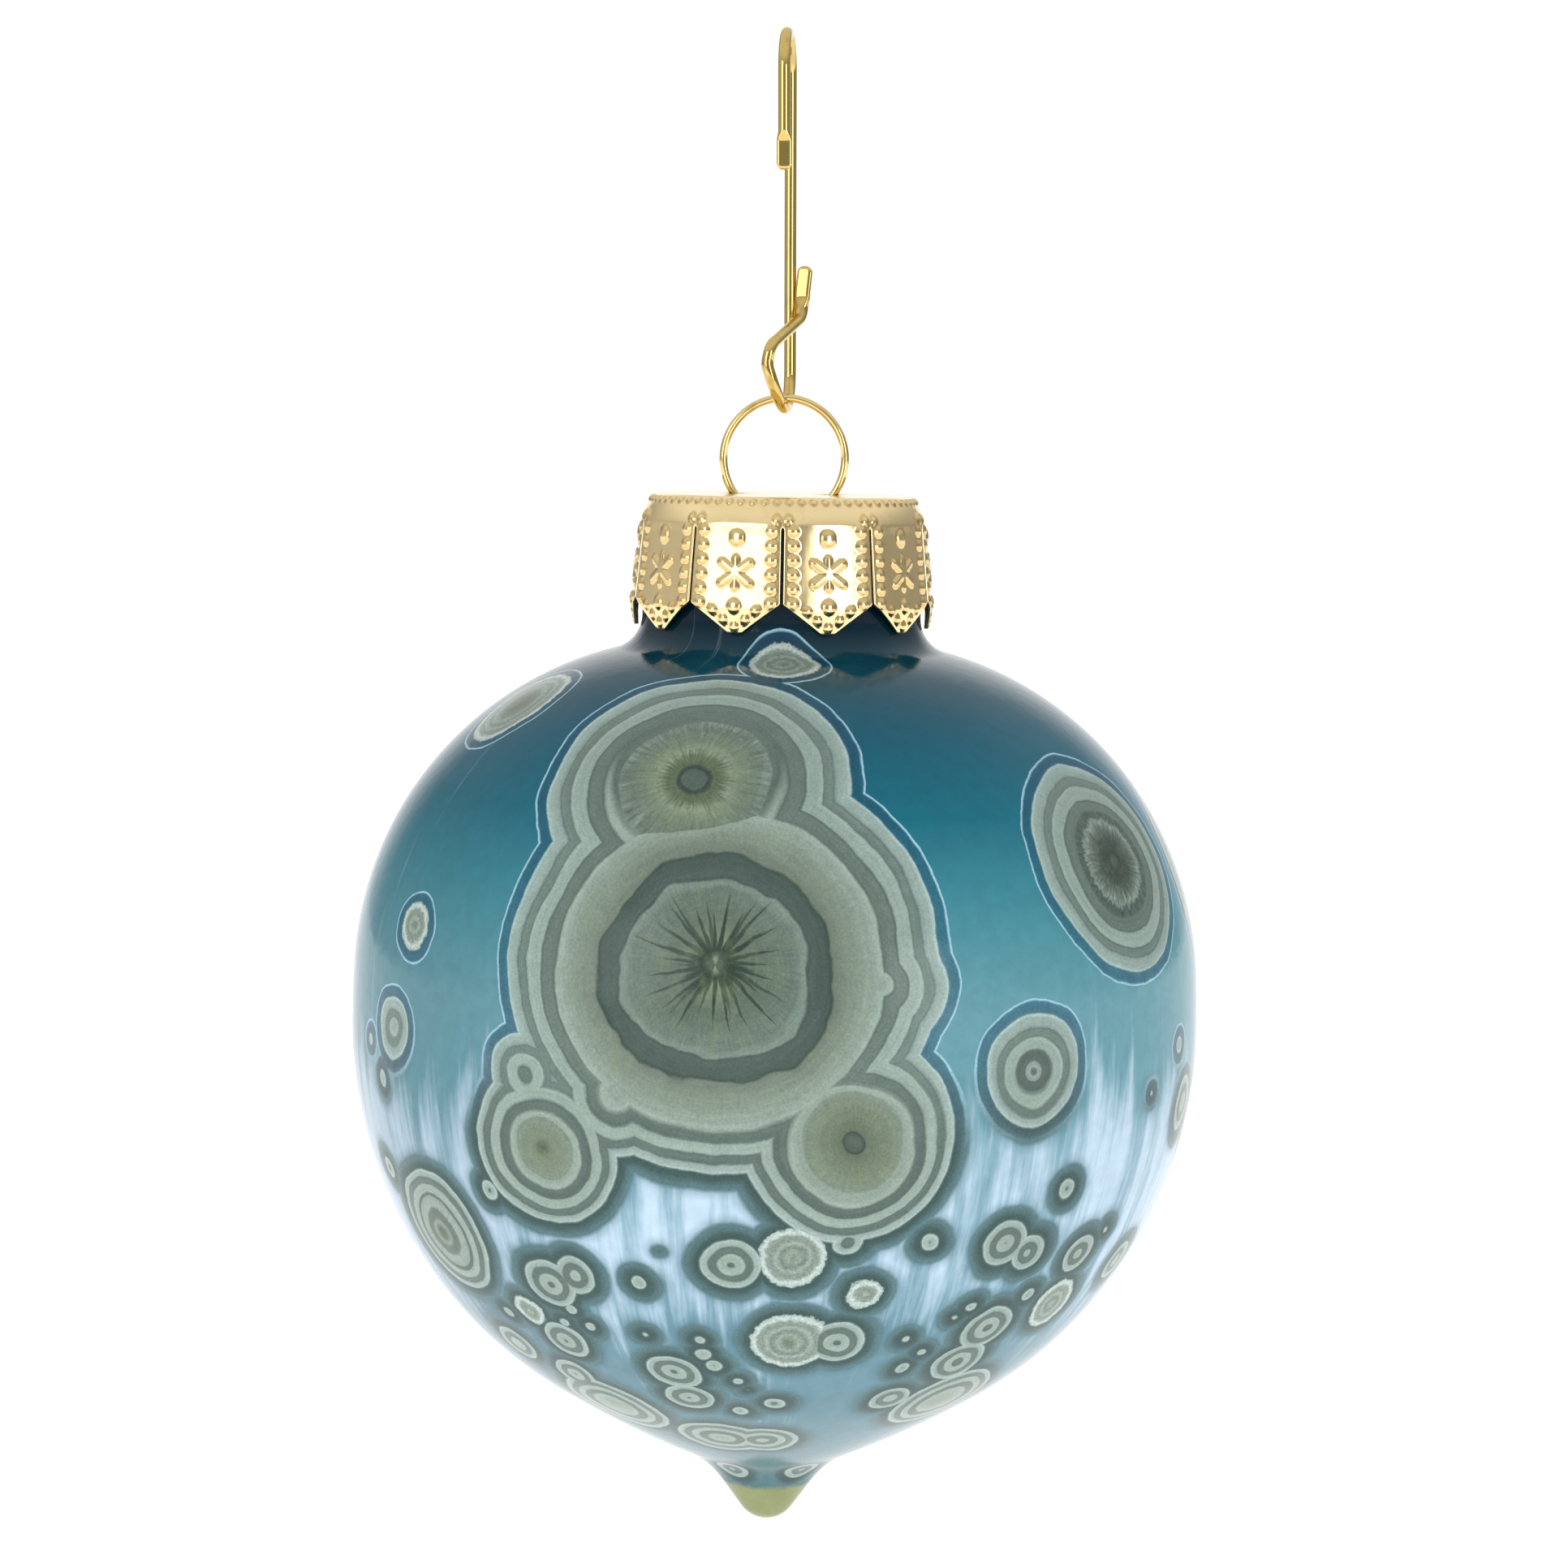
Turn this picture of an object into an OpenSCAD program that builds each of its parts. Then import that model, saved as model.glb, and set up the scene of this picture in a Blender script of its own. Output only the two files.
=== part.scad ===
// Hanging tree ornament: a hollow slip-cast porcelain drop with a stamped metal cap,
// a spring-wire clip whose ring stands above the cap, and a bent-wire hanger hook.
// Millimetres, +Z up. The origin is the centre of the hook's crook, where a rail or twig
// goes through along X. The drop hangs below it on its own axis at x = axis_x.

/* [Bulb] */
// Largest diameter of the porcelain drop
ball_d = 70; // [66:1:80]
// Outer diameter of the neck inside the cap
neck_d = 23; // [22:0.5:23]
// Thickness of the porcelain wall
wall = 2.5; // [2:0.1:3]
// Radius of the hollow corner where the neck meets the shoulder
neck_fillet = 3; // [2:0.5:4]
// Steepest slope of the shoulder, measured from straight down
shoulder_slope = 75.3; // [72:0.1:78]
// Radius of the nearly straight band at the widest place
belly_r = 96; // [60:1:120]
// Slope of the upper end of that band
belly_slope = 2.8; // [1:0.1:4]
// Radius of the round lower half
lower_r = 35.4; // [33:0.1:36]
// Slope where the round lower half runs into the flank
flank_start = 57.6; // [54:0.1:60]
// Radius of the long, flat flank above the point
flank_r = 92.6; // [85:0.1:96]
// Slope at the lower end of the flank
flank_end = 65.5; // [64:0.1:66]
// Radius of the hollow corner between the flank and the point
point_fillet = 9; // [7:0.5:9]
// Slope of the side of the point
point_slope = 35.9; // [32:0.1:38]
// Radius of the rounded end of the point
point_r = 2.65; // [2.3:0.05:2.9]

/* [Cap] */
// Height of the cap, from its flat top to the petals' points
cap_h = 10.9; // [10:0.1:11.5]
// Thickness of the stamped sheet
sheet = 0.3; // [0.2:0.05:0.4]
// Outer diameter of the skirt just under the shoulder
skirt_top_d = 23.9; // [23.8:0.1:24.4]
// Outer diameter of the skirt at its widest
skirt_flare_d = 25.3; // [24.6:0.1:26]
// Radius of the rounded shoulder between the flat top and the skirt
shoulder_bend_r = 1.9; // [0.9:0.1:1.9]
// Number of petals round the skirt
petals = 10; // [8:1:12]
// Width of the slit between two petals
slit_w = 0.25; // [0.15:0.05:0.4]
// Diameter of each of the two holes for the clip
clip_hole_d = 1.5; // [1.4:0.1:1.8]

/* [Clip] */
// Diameter of the clip's spring wire
clip_wire = 0.67; // [0.5:0.01:0.8]
// Radius of the ring, to the middle of the wire
ring_r = 5; // [4.6:0.1:5.4]
// How far each leg bows out from the axis
leg_spread = 8.4; // [7:0.1:8.4]
// How far the legs reach below the cap's top
leg_drop = 13; // [10:0.5:14]

/* [Hook] */
// Diameter of the hook's wire
hook_wire = 1; // [0.8:0.05:1.1]
// Bending radius of the crook and of the eye, to the middle of the wire
bend_r = 3.2; // [3:0.05:3.3]
// Drop from the crook's centre to the middle of the wire at the eye's bottom
hook_drop = 27.3; // [26:0.1:36]
// Width of the flattened end of the wire
paddle_w = 1.15; // [1:0.05:1.4]
// Thickness of the flattened end of the wire
paddle_t = 0.6; // [0.4:0.05:0.8]

/* [Hidden] */
$fn = 64;

// Space between the cap's top and the neck's rim, which its rounded shoulder needs
rim_gap = 0.5;
// Largest angle between two points of an arc in an outline
arc_step = 3;

// The eye hangs a little to one side of the crook, because the hook leans
axis_x = 0.3;
strand_y = 3.25;

// Heights, from the crook's centre down
ring_top_z = -hook_drop + hook_wire / 2 + clip_wire / 2 + 0.03;
ring_z = ring_top_z - ring_r;
cap_z = ring_z - 2.9;
rim_z = cap_z - sheet - rim_gap;
neck_z = cap_z - 10;
skirt_flare_z = cap_z - 9;
petal_part_z = cap_z - 8.55;
slit_top_z = cap_z - 2.4;
petal_tip_z = cap_z - cap_h;

// The ring's wire goes on through the cap, and its holes lie where it crosses the sheet
hole_x = sqrt(ring_r * ring_r - pow(ring_z - cap_z + sheet / 2, 2));

function last(list) = list[len(list) - 1];

// Points of an arc in a half outline [radius, height], which turns from slope a to slope b.
// A slope is measured from straight down, and is positive where the outline widens.
function arc(start, r, a, b) =
    let (n = ceil(abs(b - a) / arc_step), side = sign(b - a))
    [for (i = [1:n])
        let (t = a + (b - a) * i / n)
        start + r * side * [cos(a) - cos(t), sin(a) - sin(t)]];

// The drop's outline from the neck to the end of the flank, set in by the amount in.
shoulder_start_r = neck_d / 2 + neck_fillet * (1 - cos(shoulder_slope));
shoulder_r = (ball_d / 2 - shoulder_start_r - belly_r * (1 - cos(belly_slope)))
    / (cos(belly_slope) - cos(shoulder_slope));

function drop_side(in) =
    let (
        neck = [neck_d / 2 - in, neck_z],
        fillet = arc(neck, neck_fillet + in, 0, shoulder_slope),
        shoulder = arc(last(fillet), shoulder_r - in, shoulder_slope, belly_slope),
        belly = arc(last(shoulder), belly_r - in, belly_slope, 0),
        lower = arc(last(belly), lower_r - in, 0, -flank_start),
        flank = arc(last(lower), flank_r - in, -flank_start, -flank_end)
    )
    concat([neck], fillet, shoulder, belly, lower, flank);

// The solid point below the flank, from its hollow corner to its rounded end.
function drop_point(start) =
    let (
        corner = arc(start, point_fillet, -flank_end, -point_slope),
        end_r = point_r * cos(point_slope),
        run = (last(corner)[0] - end_r) / sin(point_slope),
        end = last(corner) - run * [sin(point_slope), cos(point_slope)]
    )
    concat(corner, [end], arc(end, point_r, -point_slope, -90));

// The floor of the hollow is a shallow round bowl.
function hollow_floor(start) = arc(start, start[0] / cos(flank_end), -flank_end, -90);

function reversed(list) = [for (i = [len(list) - 1:-1:0]) list[i]];

module porcelain_bulb() {
    outside = drop_side(0);
    inside = drop_side(wall);
    rim_r = wall / 3;
    outer_rim = [for (a = [90:-15:0])
        [neck_d / 2 - rim_r + rim_r * cos(a), rim_z - rim_r + rim_r * sin(a)]];
    inner_rim = [for (a = [180:-15:90])
        [neck_d / 2 - wall + rim_r + rim_r * cos(a), rim_z - rim_r + rim_r * sin(a)]];
    color("#4f8d9c")
    translate([axis_x, 0, 0])
    rotate_extrude($fn = 128)
    polygon(concat(
        outer_rim,
        outside,
        drop_point(last(outside)),
        reversed(concat(inside, hollow_floor(last(inside)))),
        inner_rim
    ));
}

// The cap's half outline, set in by the amount in and closed at the height bottom.
function cap_side(in, bottom) =
    let (
        bend_r = shoulder_bend_r - in,
        top_r = skirt_top_d / 2 - shoulder_bend_r,
        curl = 0.3
    )
    concat(
        [[0, cap_z - in]],
        [for (a = [90:-10:0])
            [top_r + bend_r * cos(a), cap_z - shoulder_bend_r + bend_r * sin(a)]],
        [
            [skirt_flare_d / 2 - in, skirt_flare_z],
            [skirt_flare_d / 2 - curl - in, petal_tip_z],
            [skirt_flare_d / 2 - curl - in, bottom],
            [0, bottom]
        ]
    );

// The gap between two petals: a narrow slit that opens into a wide V.
module petal_gap() {
    half_pitch = skirt_flare_d / 2 * sin(180 / petals);
    drop = petal_part_z - petal_tip_z + 0.2;
    reach = 1.5;
    translate([0, -8, 0])
    rotate([90, 0, 0])
    linear_extrude(8)
    polygon([
        [-slit_w / 2, slit_top_z],
        [slit_w / 2, slit_top_z],
        [slit_w / 2, petal_part_z],
        [half_pitch * reach, petal_part_z - drop * reach],
        [-half_pitch * reach, petal_part_z - drop * reach],
        [-slit_w / 2, petal_part_z]
    ]);
}

module cap() {
    color("#d9bd7a")
    translate([axis_x, 0, 0])
    difference() {
        rotate_extrude($fn = 128)
            polygon(cap_side(0, petal_tip_z));
        rotate_extrude($fn = 128)
            polygon(cap_side(sheet, petal_tip_z - 1));
        for (i = [0:petals - 1])
            rotate([0, 0, i * 360 / petals])
            petal_gap();
        for (side = [-1, 1])
            translate([side * hole_x, 0, cap_z - sheet - 1])
            cylinder(d = clip_hole_d, h = sheet + 2);
    }
}

function unit(v) = v / norm(v);

// Places the children with their axes along x_dir, y_dir and z_dir, at the point at.
module place(at, x_dir, y_dir, z_dir) {
    multmatrix([
        [x_dir[0], y_dir[0], z_dir[0], at[0]],
        [x_dir[1], y_dir[1], z_dir[1], at[1]],
        [x_dir[2], y_dir[2], z_dir[2], at[2]],
        [0, 0, 0, 1]
    ])
    children();
}

// A straight piece of wire between two points. It is a hair thinner than the bends and
// reaches a little way into them, so that each joint is one clean step.
module straight_wire(from, to, d) {
    lap = 0.04;
    step = 0.01;
    along = unit(to - from);
    across = unit(abs(along[0]) < 0.8 ? cross(along, [1, 0, 0]) : cross(along, [0, 1, 0]));
    place(from - along * lap, across, cross(along, across), along)
    cylinder(d = d - 2 * step, h = norm(to - from) + 2 * lap);
}

// The turn and the two tangent points of the bend at a corner.
function turn_at(a, b, c) = acos(unit(b - a) * unit(c - b));
function bend_length(a, b, c, r) = r * tan(turn_at(a, b, c) / 2);

// Round wire along corner points. Each corner i is bent to the radius radii[i].
module bent_wire(points, radii, d) {
    n = len(points);
    before = [for (i = [0:n - 1])
        i == 0 || i == n - 1 ? points[i]
        : points[i] - unit(points[i] - points[i - 1])
            * bend_length(points[i - 1], points[i], points[i + 1], radii[i])];
    after = [for (i = [0:n - 1])
        i == 0 || i == n - 1 ? points[i]
        : points[i] + unit(points[i + 1] - points[i])
            * bend_length(points[i - 1], points[i], points[i + 1], radii[i])];
    for (i = [0:n - 2])
        straight_wire(after[i], before[i + 1], d);
    for (i = [1:n - 2]) {
        along = unit(points[i] - points[i - 1]);
        normal = unit(cross(along, points[i + 1] - points[i]));
        outward = cross(along, normal);
        place(before[i] - outward * radii[i], outward, along, normal)
            rotate_extrude(angle = turn_at(points[i - 1], points[i], points[i + 1]))
            translate([radii[i], 0])
            circle(d = d);
    }
}

// One leg of the clip, from the end of the ring's arc under the cap.
module clip_leg(end_angle) {
    ring_end = ring_r * [cos(end_angle), 0, -sin(end_angle)] + [0, 0, ring_z];
    pinch = ring_end - 1.3 * [sin(end_angle), 0, cos(end_angle)];
    leg_end_z = cap_z - leg_drop;
    bent_wire(
        [
            ring_end,
            pinch,
            [leg_spread, 0, cap_z - 4.4],
            [leg_spread - 0.8, 0, leg_end_z + 1],
            [leg_spread - 1.9, 0, leg_end_z]
        ],
        [0, 0.8, 1.2, 0.8, 0],
        clip_wire
    );
}

module wire_clip() {
    end_angle = 44;
    color("#d8c27a")
    translate([axis_x, 0, 0]) {
        translate([0, 0, ring_z])
            rotate([90, 0, 0])
            rotate([0, 0, -end_angle])
            rotate_extrude(angle = 180 + 2 * end_angle)
            translate([ring_r, 0])
            circle(d = clip_wire);
        clip_leg(end_angle);
        mirror([1, 0, 0])
            clip_leg(end_angle);
    }
}

// The flattened end of the wire: a flat tongue with a round end, which starts at from.
module paddle(from, to, facing) {
    along = unit(to - from);
    across = unit(cross(facing, along));
    length = norm(to - from) - paddle_w / 2;
    place(from, across, along, cross(across, along))
    translate([0, 0, -paddle_t / 2])
    linear_extrude(paddle_t)
    union() {
        translate([-paddle_w / 2, 0])
            square([paddle_w, length]);
        translate([0, length])
            circle(d = paddle_w);
    }
}

module hanger_hook() {
    eye_z = -hook_drop;
    front_end = [-0.1, -strand_y, -8];
    front_flat = [-0.15, -strand_y, -5.4];
    back_end = [1.8, 3, eye_z + 11.7];
    back_flat = [1.6, 2.75, eye_z + 8.6];
    color("#c8a93c")
    union() {
        bent_wire(
            [
                front_flat + [0, 0, -0.6],
                [-0.3, -strand_y, strand_y],
                [0.25, strand_y, strand_y],
                [2 * axis_x + 0.1, strand_y, eye_z],
                [-0.1, -strand_y, eye_z],
                [-1.25, -3.2, eye_z + 3.6],
                [-0.95, -3.1, eye_z + 5.1],
                [1.55, 2.5, eye_z + 7.5],
                back_flat + [0, 0, 0.6]
            ],
            [0, bend_r, bend_r, bend_r, bend_r, 1.8, 1.2, 1.5, 0],
            hook_wire
        );
        paddle(front_flat, front_end, [0, 1, 0]);
        paddle(back_flat, back_end, [0.3, 1, 0]);
    }
}

hanger_hook();
wire_clip();
cap();
porcelain_bulb();
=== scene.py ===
"""A hanging porcelain ornament: a drop with a crystalline glaze, a stamped gold cap, a spring-wire
clip and a bent-wire hanger hook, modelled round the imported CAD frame."""

import math
import random
from types import SimpleNamespace

import bmesh
import bpy
import numpy as np
from mathutils import Matrix, Vector
from mathutils.geometry import delaunay_2d_cdt


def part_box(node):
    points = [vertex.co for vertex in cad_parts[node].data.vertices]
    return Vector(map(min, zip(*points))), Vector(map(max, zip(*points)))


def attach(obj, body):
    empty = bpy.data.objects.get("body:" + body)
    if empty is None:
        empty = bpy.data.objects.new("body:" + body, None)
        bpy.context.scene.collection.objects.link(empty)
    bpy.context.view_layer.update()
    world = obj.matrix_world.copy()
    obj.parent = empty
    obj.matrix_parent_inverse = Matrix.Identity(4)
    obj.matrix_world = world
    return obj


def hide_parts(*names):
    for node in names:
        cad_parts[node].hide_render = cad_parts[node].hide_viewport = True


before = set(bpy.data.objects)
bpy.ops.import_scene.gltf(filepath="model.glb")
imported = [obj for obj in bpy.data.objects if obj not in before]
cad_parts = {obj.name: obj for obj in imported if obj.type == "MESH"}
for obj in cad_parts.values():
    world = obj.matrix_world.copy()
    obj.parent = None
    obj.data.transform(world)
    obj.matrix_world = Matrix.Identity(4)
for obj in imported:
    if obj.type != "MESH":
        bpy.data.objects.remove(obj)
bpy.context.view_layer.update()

# Lengths in this script are in millimetres, and become metres when a mesh is made.
MM = 0.001

bulb_low, bulb_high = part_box("porcelain_bulb")
cap_low, cap_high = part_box("cap")
AXIS_X = (bulb_low.x + bulb_high.x) / 2 / MM
BALL_R = (bulb_high.x - bulb_low.x) / 2 / MM
CAP_Z = cap_high.z / MM
RIM_Z = bulb_high.z / MM


# ------------------------ mesh helpers

def make_object(name, vertices, faces, material):
    """A smooth mesh object from points in millimetres."""
    mesh = bpy.data.meshes.new(name)
    mesh.from_pydata([tuple(v) for v in np.asarray(vertices) * MM], [], faces)
    mesh.validate()
    mesh.polygons.foreach_set("use_smooth", [True] * len(mesh.polygons))
    mesh.materials.append(material)
    mesh.update()
    piece = bpy.data.objects.new(name, mesh)
    bpy.context.scene.collection.objects.link(piece)
    return piece


def arc(start, radius, a, b, step=1.5):
    """Points of an arc in a half outline (radius, height), which turns from slope a to slope b.
    A slope is in degrees from straight down, and is positive where the outline widens."""
    count = max(1, math.ceil(abs(b - a) / step))
    side = 1 if b > a else -1
    first = math.radians(a)
    points = []
    for i in range(1, count + 1):
        t = math.radians(a + (b - a) * i / count)
        points.append((
            start[0] + radius * side * (math.cos(first) - math.cos(t)),
            start[1] + radius * side * (math.sin(first) - math.sin(t)),
        ))
    return points


def quarter(centre, radius, a, b, count=6):
    """Points on a circle from angle a to angle b, in degrees from straight out."""
    angles = np.radians(np.linspace(a, b, count))
    return [(centre[0] + radius * math.cos(t), centre[1] + radius * math.sin(t)) for t in angles]


def divided(a, b, step):
    """Points from a to b, without a, at most step apart."""
    a, b = np.array(a, float), np.array(b, float)
    count = max(1, math.ceil(np.linalg.norm(b - a) / step))
    return [tuple(a + (b - a) * i / count) for i in range(1, count + 1)]


def lathe(name, outline, segments, material):
    """A closed solid of revolution about the drop's axis, from a closed half outline."""
    vertices, faces, rings = [], [], []
    for r, z in outline:
        if r < 1e-4:
            rings.append([len(vertices)] * segments)
            vertices.append((AXIS_X, 0, z))
            continue
        rings.append(list(range(len(vertices), len(vertices) + segments)))
        for k in range(segments):
            t = 2 * math.pi * k / segments
            vertices.append((AXIS_X + r * math.sin(t), -r * math.cos(t), z))
    for upper, lower in zip(rings, rings[1:] + rings[:1]):
        for k in range(segments):
            n = (k + 1) % segments
            face = list(dict.fromkeys((upper[k], lower[k], lower[n], upper[n])))
            if len(face) > 2:
                faces.append(face)
    return make_object(name, vertices, faces, material)


# ------------------------ the drop's outline

NECK_R = 11.5
WALL = 2.5
NECK_Z = CAP_Z - 10
NECK_FILLET = 3
SHOULDER_SLOPE = 75.3
BELLY_SLOPE, BELLY_R = 2.8, 96
LOWER_R = 35.4
FLANK_START, FLANK_END, FLANK_R = -57.6, -65.5, 92.6
POINT_FILLET, POINT_SLOPE, POINT_R = 9, -35.9, 2.65


def cosd(degrees):
    return math.cos(math.radians(degrees))


def sind(degrees):
    return math.sin(math.radians(degrees))


SHOULDER_START_R = NECK_R + NECK_FILLET * (1 - cosd(SHOULDER_SLOPE))
SHOULDER_R = (BALL_R - SHOULDER_START_R - BELLY_R * (1 - cosd(BELLY_SLOPE))) / (
    cosd(BELLY_SLOPE) - cosd(SHOULDER_SLOPE))


def drop_side(inset, step):
    """The outline from the neck to the end of the flank, set in by an amount."""
    points = [(NECK_R - inset, NECK_Z)]
    for radius, a, b in (
        (NECK_FILLET + inset, 0, SHOULDER_SLOPE),
        (SHOULDER_R - inset, SHOULDER_SLOPE, BELLY_SLOPE),
        (BELLY_R - inset, BELLY_SLOPE, 0),
        (LOWER_R - inset, 0, FLANK_START),
        (FLANK_R - inset, FLANK_START, FLANK_END),
    ):
        points += arc(points[-1], radius, a, b, step)
    return points


def drop_point(start, step):
    """The outline of the solid point, down to its rounded end."""
    points = arc(start, POINT_FILLET, FLANK_END, POINT_SLOPE, step)
    end_r = POINT_R * cosd(POINT_SLOPE)
    run = (points[-1][0] - end_r) / -sind(POINT_SLOPE)
    end = (end_r, points[-1][1] - run * cosd(POINT_SLOPE))
    points += divided(points[-1], end, 0.7)
    points += arc(end, POINT_R, POINT_SLOPE, -90, 6)
    points[-1] = (0, points[-1][1])
    return points


OUTER_SIDE = drop_side(0, 1.2)
OUTER_SIDE += drop_point(OUTER_SIDE[-1], 2)


def drop_radius(z):
    """The drop's outer radius at a height."""
    heights = [p[1] for p in OUTER_SIDE][::-1]
    radii = [p[0] for p in OUTER_SIDE][::-1]
    return float(np.interp(z, heights, radii))


def on_drop(azimuth, drop):
    """A point on the glaze, from degrees round from the front, towards +X, and millimetres below
    the cap's top."""
    z = CAP_Z - drop
    r = drop_radius(z)
    return (AXIS_X + r * sind(azimuth), -r * cosd(azimuth), z)


# ------------------------ shader helpers

def linear(colour):
    """A colour such as #a0b0c0, or a grey from 0 to 1 that is already linear, as linear RGBA."""
    if not isinstance(colour, str):
        return [colour] * 3 + [1]
    parts = [int(colour[i:i + 2], 16) / 255 for i in (1, 3, 5)]
    return [c / 12.92 if c <= 0.04045 else ((c + 0.055) / 1.055) ** 2.4 for c in parts] + [1]


class Shader:
    """One material's node tree, with a short call for each kind of node."""

    def __init__(self, name):
        self.material = bpy.data.materials.new(name)
        self.material.use_nodes = True
        self.nodes = self.material.node_tree.nodes
        self.links = self.material.node_tree.links
        self.nodes.clear()
        self.surface = self.nodes.new("ShaderNodeBsdfPrincipled")
        output = self.nodes.new("ShaderNodeOutputMaterial")
        self.links.new(self.surface.outputs[0], output.inputs["Surface"])

    def put(self, value, socket):
        """Links an output to a socket, or sets a plain value on it."""
        if isinstance(value, bpy.types.NodeSocket):
            self.links.new(value, socket)
        elif isinstance(value, str):
            colour = linear(value)
            socket.default_value = colour[:len(socket.default_value)]
        else:
            socket.default_value = value

    def set(self, **values):
        """Sets the surface shader's sockets: names with _ for a space."""
        for name, value in values.items():
            self.put(value, self.surface.inputs[name.replace("_", " ")])

    def place(self):
        """The point in millimetres, in the frame's own coordinates."""
        coordinates = self.nodes.new("ShaderNodeTexCoord")
        return self.vector("SCALE", coordinates.outputs["Object"], scale=1 / MM)

    def math(self, operation, *values):
        node = self.nodes.new("ShaderNodeMath")
        node.operation = operation
        for value, socket in zip(values, node.inputs):
            self.put(value, socket)
        return node.outputs[0]

    def plus(self, first, second):
        return self.math("ADD", first, second)

    def minus(self, first, second):
        return self.math("SUBTRACT", first, second)

    def times(self, product, *factors):
        for factor in factors:
            product = self.math("MULTIPLY", product, factor)
        return product

    def vector(self, operation, *values, scale=None):
        node = self.nodes.new("ShaderNodeVectorMath")
        node.operation = operation
        for value, socket in zip(values, node.inputs):
            self.put(value, socket)
        if scale is not None:
            self.put(scale, node.inputs["Scale"])
        numeric = operation in ("DISTANCE", "LENGTH", "DOT_PRODUCT")
        return node.outputs["Value" if numeric else "Vector"]

    def separate(self, vector):
        node = self.nodes.new("ShaderNodeSeparateXYZ")
        self.put(vector, node.inputs[0])
        return node.outputs

    def combine(self, x, y, z):
        node = self.nodes.new("ShaderNodeCombineXYZ")
        for value, socket in zip((x, y, z), node.inputs):
            self.put(value, socket)
        return node.outputs[0]

    def noise(self, vector, scale, detail=2.0, roughness=0.5, colour=False):
        node = self.nodes.new("ShaderNodeTexNoise")
        self.put(vector, node.inputs["Vector"])
        self.put(scale, node.inputs["Scale"])
        self.put(detail, node.inputs["Detail"])
        self.put(roughness, node.inputs["Roughness"])
        return node.outputs["Color" if colour else "Fac"]

    def luck(self, value):
        """A random number from 0 to 1 for each value."""
        node = self.nodes.new("ShaderNodeTexWhiteNoise")
        node.noise_dimensions = "1D"
        self.put(value, node.inputs["W"])
        return node.outputs["Value"]

    def step(self, value, low, high, start=0.0, end=1.0):
        """A smooth step from start to end as value goes from low to high."""
        node = self.nodes.new("ShaderNodeMapRange")
        node.interpolation_type = "SMOOTHSTEP"
        for item, name in ((value, "Value"), (low, "From Min"), (high, "From Max"),
                           (start, "To Min"), (end, "To Max")):
            self.put(item, node.inputs[name])
        return node.outputs[0]

    def ramp(self, value, span, stops):
        """A colour ramp whose stops are at places within span, a (low, high) pair."""
        low, high = span
        share = self.math("DIVIDE", self.minus(value, low), high - low)
        node = self.nodes.new("ShaderNodeValToRGB")
        self.put(share, node.inputs[0])
        elements = node.color_ramp.elements
        while len(elements) > 1:
            elements.remove(elements[-1])
        for i, (place, colour) in enumerate(stops):
            at = (place - low) / (high - low)
            element = elements[0] if i == 0 else elements.new(at)
            element.position = at
            element.color = linear(colour)
        return node.outputs[0]

    def mix(self, factor, a, b, blend="MIX"):
        node = self.nodes.new("ShaderNodeMix")
        node.data_type = "RGBA"
        node.blend_type = blend
        node.clamp_result = False
        self.put(factor, node.inputs[0])
        self.put(a, node.inputs[6])
        self.put(b, node.inputs[7])
        return node.outputs[2]

    def tint(self, colour, amount):
        """The colour made lighter or darker by a number about 1."""
        return self.vector("SCALE", colour, scale=amount)

    def bump(self, height, distance, strength):
        """Bends the surface's normal by a height, over a distance in millimetres."""
        node = self.nodes.new("ShaderNodeBump")
        self.put(height, node.inputs["Height"])
        node.inputs["Distance"].default_value = distance * MM
        node.inputs["Strength"].default_value = strength
        self.links.new(node.outputs[0], self.surface.inputs["Normal"])

    def attribute(self, name):
        """A number that the mesh holds for each of its points."""
        node = self.nodes.new("ShaderNodeAttribute")
        node.attribute_name = name
        return node.outputs["Fac"]


# ------------------------ glaze

# The crystals that the front shows: degrees round from the front, millimetres below the cap,
# and radius in millimetres out to the dark rim's outer edge.
MAIN = (-7.5, 34.7, 18.3)
UPPER = (-13.5, 21.3, 13.2)
LOW_RIGHT = (10, 48, 9.3)
LOW_LEFT = (-30.5, 49.5, 7.5)
RIGHT = (56, 28, 10)
RIGHT_LOW = (35, 43, 5.5)
LEFT_LOW = (-55, 58.5, 6.6)

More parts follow.
